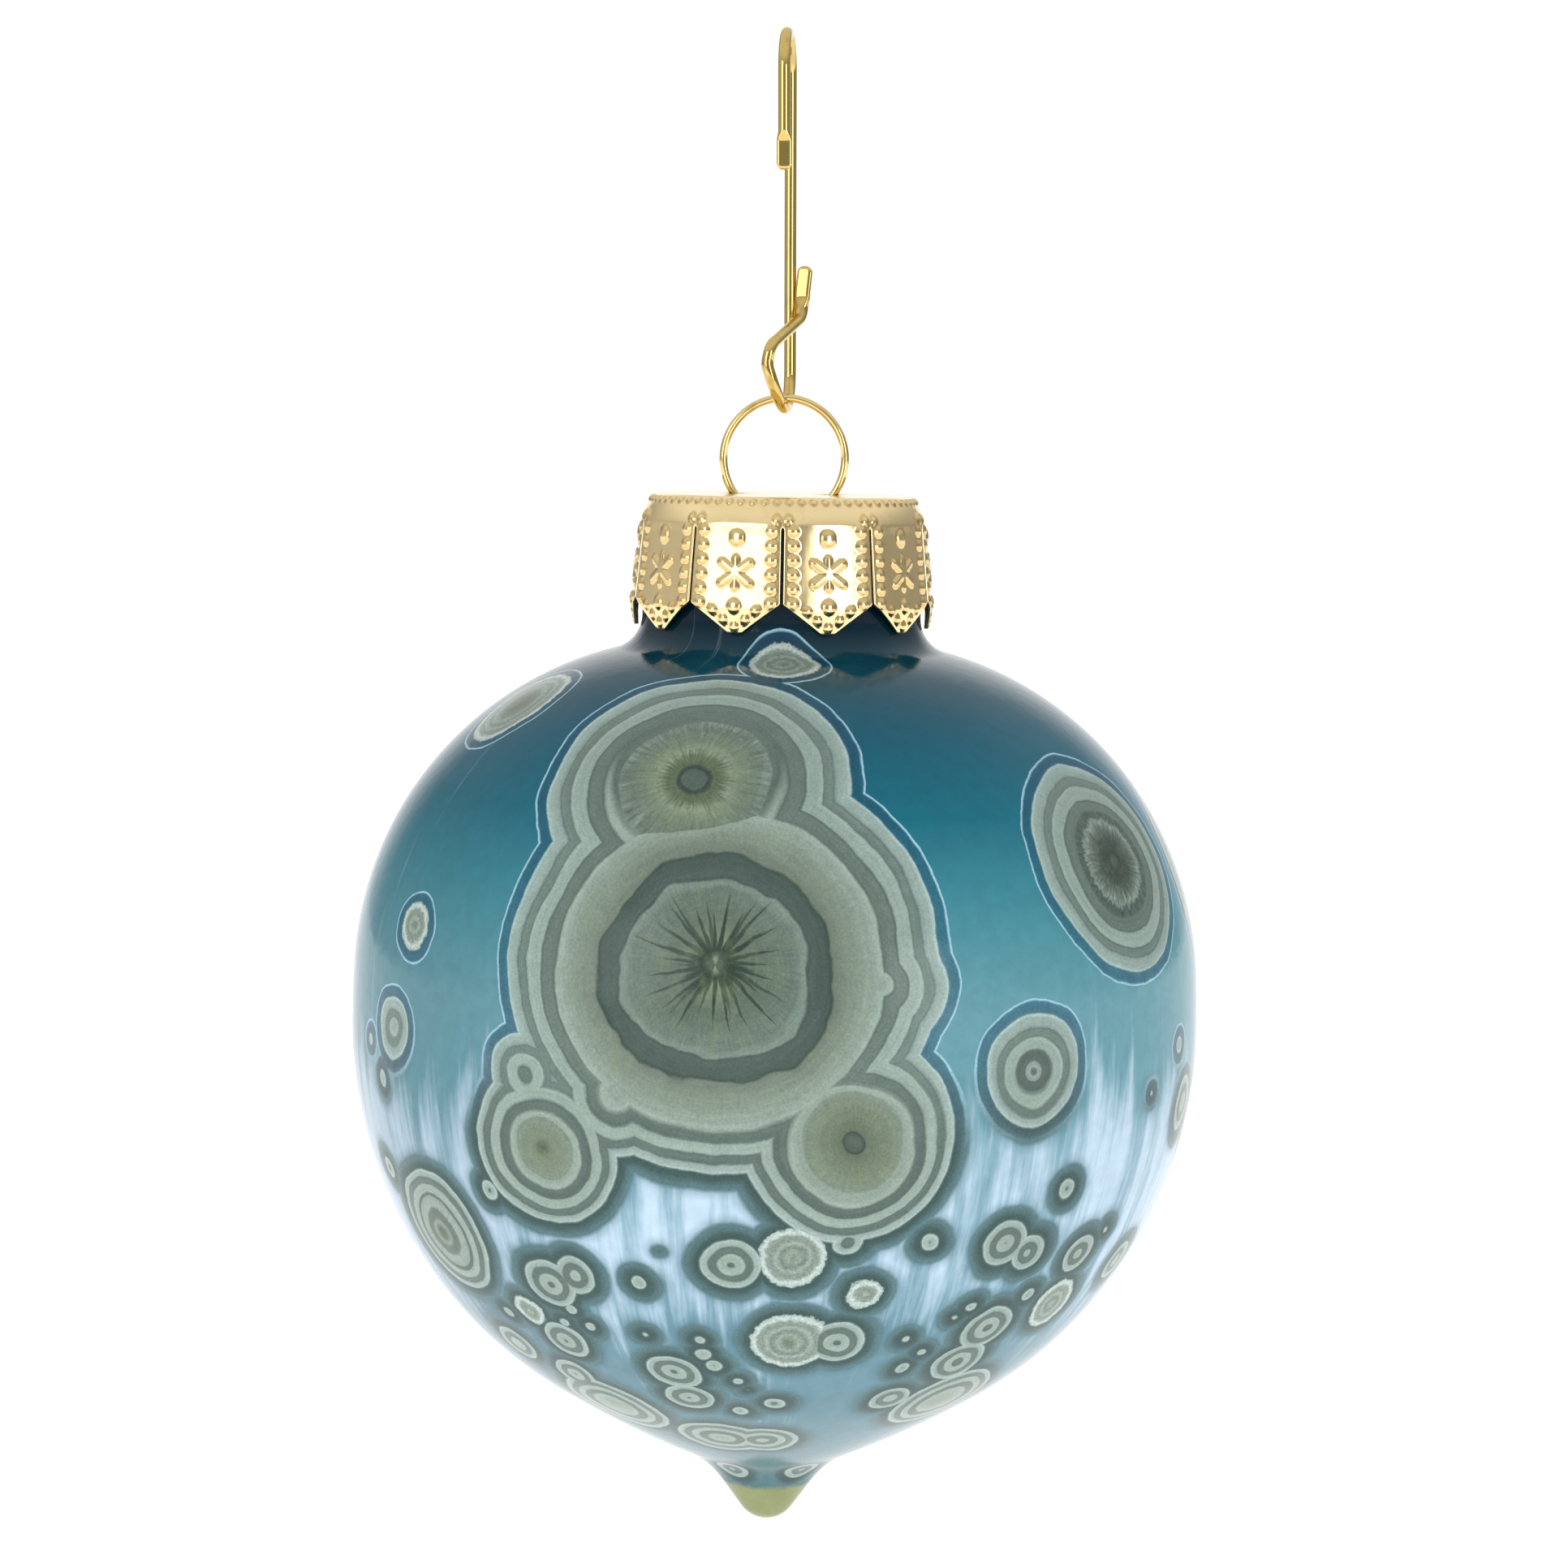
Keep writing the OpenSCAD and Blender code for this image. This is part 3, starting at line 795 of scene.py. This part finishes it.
def skirt_grid(columns, skip):
    """One petal's grid of points, their outward normals, the stamped relief's height and its
    steepness from 0 to 1, on every skip-th row of the outline."""
    radius, drop, normal = skirt_profile()
    keep = list(range(0, len(radius) - 1, skip)) + [len(radius) - 1]
    half_angle = math.pi / PETALS
    share = np.linspace(-1, 1, columns + 1)
    points = np.zeros((len(keep), columns + 1, 3))
    normals = np.zeros_like(points)
    flat = np.zeros((len(keep), columns + 1, 2))
    for row, k in enumerate(keep):
        angle = share * half_angle * petal_half_width(drop[k]) / HALF_PITCH
        flatness = min(1.0, drop[k] / 3) * FLATNESS
        flattened = radius[k] * (1 - flatness + flatness * math.cos(half_angle) / np.cos(angle))
        points[row] = np.stack([flattened * np.sin(angle), -flattened * np.cos(angle),
                                np.full_like(angle, -drop[k])], axis=1)
        normals[row] = np.stack([normal[k, 0] * np.sin(angle), -normal[k, 0] * np.cos(angle),
                                 np.full_like(angle, normal[k, 1])], axis=1)
        flat[row] = np.stack([angle * SKIRT_FLARE_R, np.full_like(angle, drop[k])], axis=1)
    ring_share = (share[None, :] * 0.5 + 0.5) * np.ones((len(keep), 1))
    relief = emboss(flat[:, :, 0], flat[:, :, 1], ring_share)
    slope_y, slope_x = np.gradient(relief, axis=0), np.gradient(relief, axis=1)
    return points, normals, relief, np.clip(np.hypot(slope_x, slope_y) / 0.07, 0, 1)


class CapMesh:
    """The cap's points, its faces, and how steep the stamped relief is at each point."""

    def __init__(self):
        self.points, self.faces, self.steepness = [], [], []

    def add_points(self, points, steepness):
        """Adds points that share a steepness or have one each, and gives the first one's number."""
        start = len(self.points)
        self.points += [tuple(p) for p in points]
        self.steepness += list(np.broadcast_to(steepness, len(points)))
        return start

    def add_face(self, face, flip=False):
        self.faces.append(face[::-1] if flip else face)

    def add_grid(self, grid, steepness, flip):
        """Adds a grid of points with its faces, and gives the points' numbers in rows."""
        rows, cols = grid.shape[:2]
        start = self.add_points(grid.reshape(-1, 3), steepness)
        numbers = [[start + r * cols + c for c in range(cols)] for r in range(rows)]
        for upper, lower in zip(numbers, numbers[1:]):
            for c in range(cols - 1):
                self.add_face((upper[c], lower[c], lower[c + 1], upper[c + 1]), flip)
        return numbers

    def stitch(self, fine, coarse, flip):
        """Joins a border of 2n or 2n + 1 points to one of n + 1."""
        last = len(fine) - 1
        for i in range(len(coarse) - 1):
            a, m, b = (fine[min(2 * i + k, last)] for k in range(3))
            c, d = coarse[i], coarse[i + 1]
            for face in ((c, a, m), (c, m, d), (d, m, b)):
                if len(set(face)) == 3:
                    self.add_face(face, flip)


def circle(x, radius, count):
    """Points round a circle whose middle is at (x, 0), from +X."""
    turns = np.linspace(0, 2 * math.pi, count + 1)[:-1]
    return [(x + radius * math.cos(t), radius * math.sin(t)) for t in turns]


def add_petals(cap):
    """The embossed petals: a fine outer skin, a coarser inner one, and their edges between."""
    outer, normals, relief, steepness = skirt_grid(PETAL_COLUMNS, 1)
    inner, inner_normals, inner_relief, _ = skirt_grid(PETAL_COLUMNS // 2, 2)
    outer = outer + normals * relief[:, :, None]
    inner = inner - inner_normals * (SHEET - inner_relief[:, :, None] * 0.8)
    drop = skirt_profile()[1]
    first_cut = int(np.argmax(drop > SLIT_TOP)) - 1
    first_cut -= first_cut % 2
    for petal in range(PETALS):
        turn = 2 * math.pi * (petal + 0.5) / PETALS
        c, s = math.cos(turn), math.sin(turn)
        matrix = np.array([[c, -s, 0], [s, c, 0], [0, 0, 1]])
        fine = cap.add_grid(outer @ matrix.T, steepness.ravel(), False)
        coarse = cap.add_grid(inner @ matrix.T, 0.0, True)
        for column, flip in ((0, False), (-1, True)):
            cap.stitch([row[column] for row in fine[first_cut:]],
                       [row[column] for row in coarse[first_cut // 2:]], flip)
        cap.stitch(fine[-1], coarse[-1], False)


def add_flat_top(cap, hole_x):
    """The flat top's upper and lower faces, with the two holes, and the holes' walls."""
    sides = (-hole_x, hole_x)
    for z, count, flip in ((0.0, PETALS * PETAL_COLUMNS, False),
                           (-SHEET, PETALS * PETAL_COLUMNS // 2, True)):
        rim = [(TOP_R * math.sin(2 * math.pi * k / count), -TOP_R * math.cos(2 * math.pi * k / count))
               for k in range(count)]
        loops = [rim] + [circle(x, HOLE_R, HOLE_SIDES) for x in sides]
        spread = [p for r in (2.0, 6.2, 8.2, 9.4) for p in circle(0, r, 24)]
        borders, start = [], 0
        for loop in loops:
            borders += [(start + k, start + (k + 1) % len(loop)) for k in range(len(loop))]
            start += len(loop)
        flat = [Vector(p) for loop in loops + [spread] for p in loop]
        points, _, triangles = delaunay_2d_cdt(flat, borders, [], 1, 1e-7)[:3]
        first = cap.add_points([(p.x, p.y, z) for p in points], 0.0)
        for triangle in triangles:
            centre = sum((points[k] for k in triangle), Vector((0, 0))) / len(triangle)
            if min((centre - Vector((x, 0))).length for x in sides) > HOLE_R * 0.98:
                cap.add_face([first + k for k in triangle], flip)
    for x in sides:
        ring = circle(x, HOLE_R, HOLE_SIDES)
        # The holes' walls take a steepness of 0.6, which the cap's material shows as painted shade.
        first = cap.add_points([(*p, z) for z in (0.0, -SHEET) for p in ring], 0.6)
        for k in range(HOLE_SIDES):
            n = (k + 1) % HOLE_SIDES
            cap.add_face((first + k, first + n, first + HOLE_SIDES + n, first + HOLE_SIDES + k))


def build_cap(material):
    """The stamped cap: ten embossed petals, a beaded shoulder and a flat top with two holes."""
    cap = CapMesh()
    add_petals(cap)
    add_flat_top(cap, math.sqrt(RING_R ** 2 - (frame_ring_z() - CAP_Z + SHEET / 2) ** 2))
    piece = make_object("embossed_cap", np.array(cap.points) + (AXIS_X, 0, CAP_Z), cap.faces, material)
    # The relief's steepness, which the cap's material turns into painted shade on the slopes.
    attribute = piece.data.attributes.new("relief_edge", "FLOAT", "POINT")
    attribute.data.foreach_set("value", np.array(cap.steepness, np.float32))
    weld(piece, 0.002)
    return piece


def weld(piece, distance):
    """Joins points closer than a distance in millimetres, and makes the faces agree."""
    work = bmesh.new()
    work.from_mesh(piece.data)
    bmesh.ops.remove_doubles(work, verts=work.verts, dist=distance * MM)
    bmesh.ops.recalc_face_normals(work, faces=work.faces)
    work.to_mesh(piece.data)
    work.free()
    piece.data.update()


# ------------------------ wires

RING_R = 5
CLIP_WIRE = 0.67
HOOK_WIRE = 1.0
HOOK_DROP = 27.3
STRAND_Y = 3.25
BEND_R = 3.2


def frame_ring_z():
    """The height of the middle of the clip's ring."""
    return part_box("wire_clip")[1].z / MM - CLIP_WIRE / 2 - RING_R


def bent_path(corners, radii, step):
    """Points along a path with round bends at its corners."""
    corners = [np.array(c, float) for c in corners]
    path = [corners[0]]
    for i in range(1, len(corners) - 1):
        before = corners[i] - corners[i - 1]
        after = corners[i + 1] - corners[i]
        before /= np.linalg.norm(before)
        after /= np.linalg.norm(after)
        turn = math.acos(np.clip(before @ after, -1, 1))
        cut = radii[i] * math.tan(turn / 2)
        start = corners[i] - before * cut
        path += [np.array(p) for p in divided(path[-1], start, step)]
        across = after - before * (before @ after)
        across /= np.linalg.norm(across)
        centre = start + across * radii[i]
        count = max(2, math.ceil(radii[i] * turn / step))
        for k in range(1, count + 1):
            t = turn * k / count
            path.append(centre + radii[i] * (before * math.sin(t) - across * math.cos(t)))
    path += [np.array(p) for p in divided(path[-1], corners[-1], step)]
    return np.array(path)


def sweep(name, path, half_width, half_thick, facing, material, sides=28, square=None):
    """Wire along a path. At each point it is half_width across and half_thick deep, and its flat
    faces look along facing. square goes from 0, round, to 1, nearly a rectangle."""
    count = len(path)
    square = np.zeros(count) if square is None else square
    tangent = np.gradient(path, axis=0)
    tangent /= np.linalg.norm(tangent, axis=1)[:, None]
    up = np.array(facing, float)
    vertices, faces = [], []
    turns = np.linspace(0, 2 * math.pi, sides + 1)[:-1]
    for i in range(count):
        up = up - tangent[i] * (up @ tangent[i])
        up /= np.linalg.norm(up)
        across = np.cross(tangent[i], up)
        power = 1 / (1 + 1.2 * square[i])
        c = np.sign(np.cos(turns)) * np.abs(np.cos(turns)) ** power
        s = np.sign(np.sin(turns)) * np.abs(np.sin(turns)) ** power
        wide, deep = np.outer(c * half_width[i], across), np.outer(s * half_thick[i], up)
        vertices.extend(path[i] + wide + deep)
    for i in range(count - 1):
        for k in range(sides):
            n = (k + 1) % sides
            faces.append((i * sides + k, i * sides + n, (i + 1) * sides + n, (i + 1) * sides + k))
    faces.append(tuple(range(sides))[::-1])
    faces.append(tuple((count - 1) * sides + k for k in range(sides)))
    return make_object(name, vertices, faces, material)


def along(path):
    """Each point's distance from the path's start."""
    return np.concatenate([[0], np.cumsum(np.linalg.norm(np.diff(path, axis=0), axis=1))])


def eased(value, low, high):
    """A smooth step from 0 to 1 as value goes from low to high."""
    t = np.clip((value - low) / (high - low), 0, 1)
    return t * t * (3 - 2 * t)


def build_hook(material):
    """The hanger hook: one wire from its flattened front end, over the crook, down the shaft,
    round the eye and up to the flattened tongue."""
    eye = -HOOK_DROP
    corners = [
        (-0.1, -STRAND_Y, -8), (-0.3, -STRAND_Y, STRAND_Y), (0.25, STRAND_Y, STRAND_Y),
        (0.7, STRAND_Y, eye), (-0.1, -STRAND_Y, eye), (-1.25, -3.2, eye + 3.6),
        (-0.95, -3.1, eye + 5.1), (1.55, 2.5, eye + 7.5), (1.6, 2.75, eye + 9.6),
        (1.8, 3.0, eye + 11.7),
    ]
    radii = [0, BEND_R, BEND_R, BEND_R, BEND_R, 1.8, 1.2, 1.5, 0.8, 0]
    path = bent_path(corners, radii, 0.16)
    length = along(path)
    front = 1 - eased(length, 2.3, 3.2)
    back = eased(length, length[-1] - 3.6, length[-1] - 2.4)
    flat = np.maximum(front, back)
    wide = HOOK_WIRE / 2 + flat * 0.12
    thick = HOOK_WIRE / 2 - flat * 0.2
    tip = np.minimum(length, length[-1] - length)
    rounded = np.sqrt(np.clip(1 - (1 - np.clip(tip / 0.45, 0, 1)) ** 2, 0.02, 1))
    chamfer = 1 - 0.25 * (1 - np.clip(tip / 0.12, 0, 1))
    wide = wide * np.maximum(rounded, 0.45)
    return sweep("bent_wire_hook", path, wide, thick * chamfer, (0, -1, 0), material, square=flat)


def build_clip(material):
    """The spring clip: a ring above the cap, and two legs that spread inside the neck."""
    ring_z = frame_ring_z()
    # The ring ends at this angle below level, and its wire goes straight on for 1.3 mm.
    end = 44
    x, z = RING_R * cosd(end), ring_z - RING_R * sind(end)
    right = [
        (x, 0, z), (x - 1.3 * sind(end), 0, z - 1.3 * cosd(end)),
        (8.4, 0, CAP_Z - 4.4), (7.6, 0, CAP_Z - 12), (6.5, 0, CAP_Z - 13),
    ]
    leg = bent_path(right, [0, 0.8, 1.2, 0.8, 0], 0.16)
    turns = np.radians(np.linspace(-end, 180 + end, 150))[1:-1]
    ring = np.array([(RING_R * math.cos(t), 0, ring_z + RING_R * math.sin(t)) for t in turns])
    path = np.concatenate([leg[::-1], ring, leg * (-1, 1, 1)]) + (AXIS_X, 0, 0)
    length = along(path)
    tip = np.minimum(length, length[-1] - length)
    radius = CLIP_WIRE / 2 * (1 - 0.2 * (1 - np.clip(tip / 0.12, 0, 1)))
    return sweep("spring_clip", path, radius, radius, (0, -1, 0), material, sides=24)


# ------------------------ the pieces

def build_drop(material):
    """The porcelain drop: outside, point, hollow inside and rounded rim, in one closed skin."""
    rim_r = WALL / 3
    outside = quarter((NECK_R - rim_r, RIM_Z - rim_r), rim_r, 90, 0)
    outside += divided(outside[-1], (NECK_R, NECK_Z), 1.0)
    outside += OUTER_SIDE[1:]
    inside = drop_side(WALL, 4)
    floor_r = inside[-1][0] / cosd(FLANK_END)
    inside += arc(inside[-1], floor_r, FLANK_END, -90, 4)
    inside[-1] = (0, inside[-1][1])
    inside = inside[::-1]
    inside += quarter((NECK_R - WALL + rim_r, RIM_Z - rim_r), rim_r, 180, 90)
    return lathe("glazed_drop", outside + inside, 256, material)


pieces = [
    (build_drop(glaze()), "drop", "porcelain_bulb", "crystalline_glaze"),
    # The cap's deep colour, #b8923c, is painted shade on the stamped relief's slopes.
    (build_cap(metal("cap_gold", "#ffe6ae", "#b8923c", "#f5d9a4", (0.12, 0.2), relief=True)),
     "crown", "cap", "cap_metal"),
    (build_clip(metal("clip_gold", "#eed492", "#c9aa58", "#dfc284", (0.07, 0.13))),
     "clip", "wire_clip", "clip_wire"),
    (build_hook(metal("hook_brass", "#dbbf74", "#b08f48", "#b8966a", (0.05, 0.1))),
     "hook", "hanger_hook", "hook_wire"),
]
for piece, body, node, slot in pieces:
    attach(piece, body)
    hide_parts(node)


# ------------------------ floor, light and camera

def floor_material():
    """White paper that glows a little, with a faint cloudiness."""
    g = Shader("pale_floor")
    cloud = g.noise(g.place(), 0.004, 2.0, 0.5)
    g.set(Base_Color=g.mix(cloud, "#f6f6f6", "#fafafa"), Roughness=0.9,
          Emission_Color=(1, 1, 1, 1), Emission_Strength=0.5)
    return g.material


FLOOR_GAP = 45
FLOOR_Z = bulb_low.z / MM - FLOOR_GAP
FLOOR_R = 2500
rings = [0] + [FLOOR_R * (k / 12) ** 2 for k in range(1, 13)]
floor_outline = [(r, FLOOR_Z) for r in rings] + [(FLOOR_R, FLOOR_Z - 1), (0, FLOOR_Z - 1)]
floor = lathe("floor", floor_outline, 96, floor_material())


def studio():
    """A white backdrop, a dim room that is brighter at the left and above, and two soft boxes."""
    world = bpy.data.worlds.new("tent")
    bpy.context.scene.world = world
    world.use_nodes = True
    nodes, links = world.node_tree.nodes, world.node_tree.links
    background = nodes["Background"]
    where = nodes.new("ShaderNodeTexCoord")
    split = nodes.new("ShaderNodeSeparateXYZ")
    links.new(where.outputs["Generated"], split.inputs[0])

    def smooth(socket, low, high, start, end):
        node = nodes.new("ShaderNodeMapRange")
        node.interpolation_type = "SMOOTHSTEP"
        names = ("From Min", "From Max", "To Min", "To Max")
        for name, value in zip(names, (low, high, start, end)):
            node.inputs[name].default_value = value
        links.new(split.outputs[socket], node.inputs["Value"])
        return node.outputs[0]

    def joined(operation, first, second):
        node = nodes.new("ShaderNodeMath")
        node.operation = operation
        links.new(first, node.inputs[0])
        links.new(second, node.inputs[1])
        return node.outputs[0]

    back = smooth("Y", 0.78, 0.98, 0.0, 0.78)
    left = smooth("X", -0.6, -0.95, 0.32, 0.52)
    above = smooth("Z", 0.15, 0.7, 0.0, 0.5)
    links.new(joined("ADD", joined("ADD", back, left), above), background.inputs["Strength"])
    background.inputs["Color"].default_value = (1, 1, 1, 1)
    target = Vector((0, 0, -0.065))
    for name, at, width, height, radiance in (
        ("right_softbox", (0.56, -0.70, 0.06), 0.28, 0.36, 3.4),
        ("left_softbox", (-0.54, -0.74, 0.16), 0.5, 0.42, 2.0),
    ):
        light = bpy.data.lights.new(name, "AREA")
        light.shape = "RECTANGLE"
        light.size, light.size_y = width, height
        light.energy = radiance * math.pi * width * height
        lamp = bpy.data.objects.new(name, light)
        lamp.location = at
        lamp.rotation_euler = (target - Vector(at)).to_track_quat("-Z", "Y").to_euler()
        bpy.context.scene.collection.objects.link(lamp)


def make_camera():
    """A long lens a little above the cap's height, which looks down a little."""
    data = bpy.data.cameras.new("camera")
    data.sensor_width = 36
    data.lens = 100.6
    data.clip_start, data.clip_end = 0.01, 20
    camera = bpy.data.objects.new("camera", data)
    pitch, roll = math.radians(90 - 5.2), math.radians(1.0)
    turn = Matrix.Rotation(pitch, 4, "X") @ Matrix.Rotation(roll, 4, "Z")
    camera.matrix_world = Matrix.Translation(Vector((0.75, -361.6, -25.4)) * MM) @ turn
    bpy.context.scene.collection.objects.link(camera)
    bpy.context.scene.camera = camera


studio()
make_camera()
bpy.context.scene.view_settings.view_transform = "Standard"
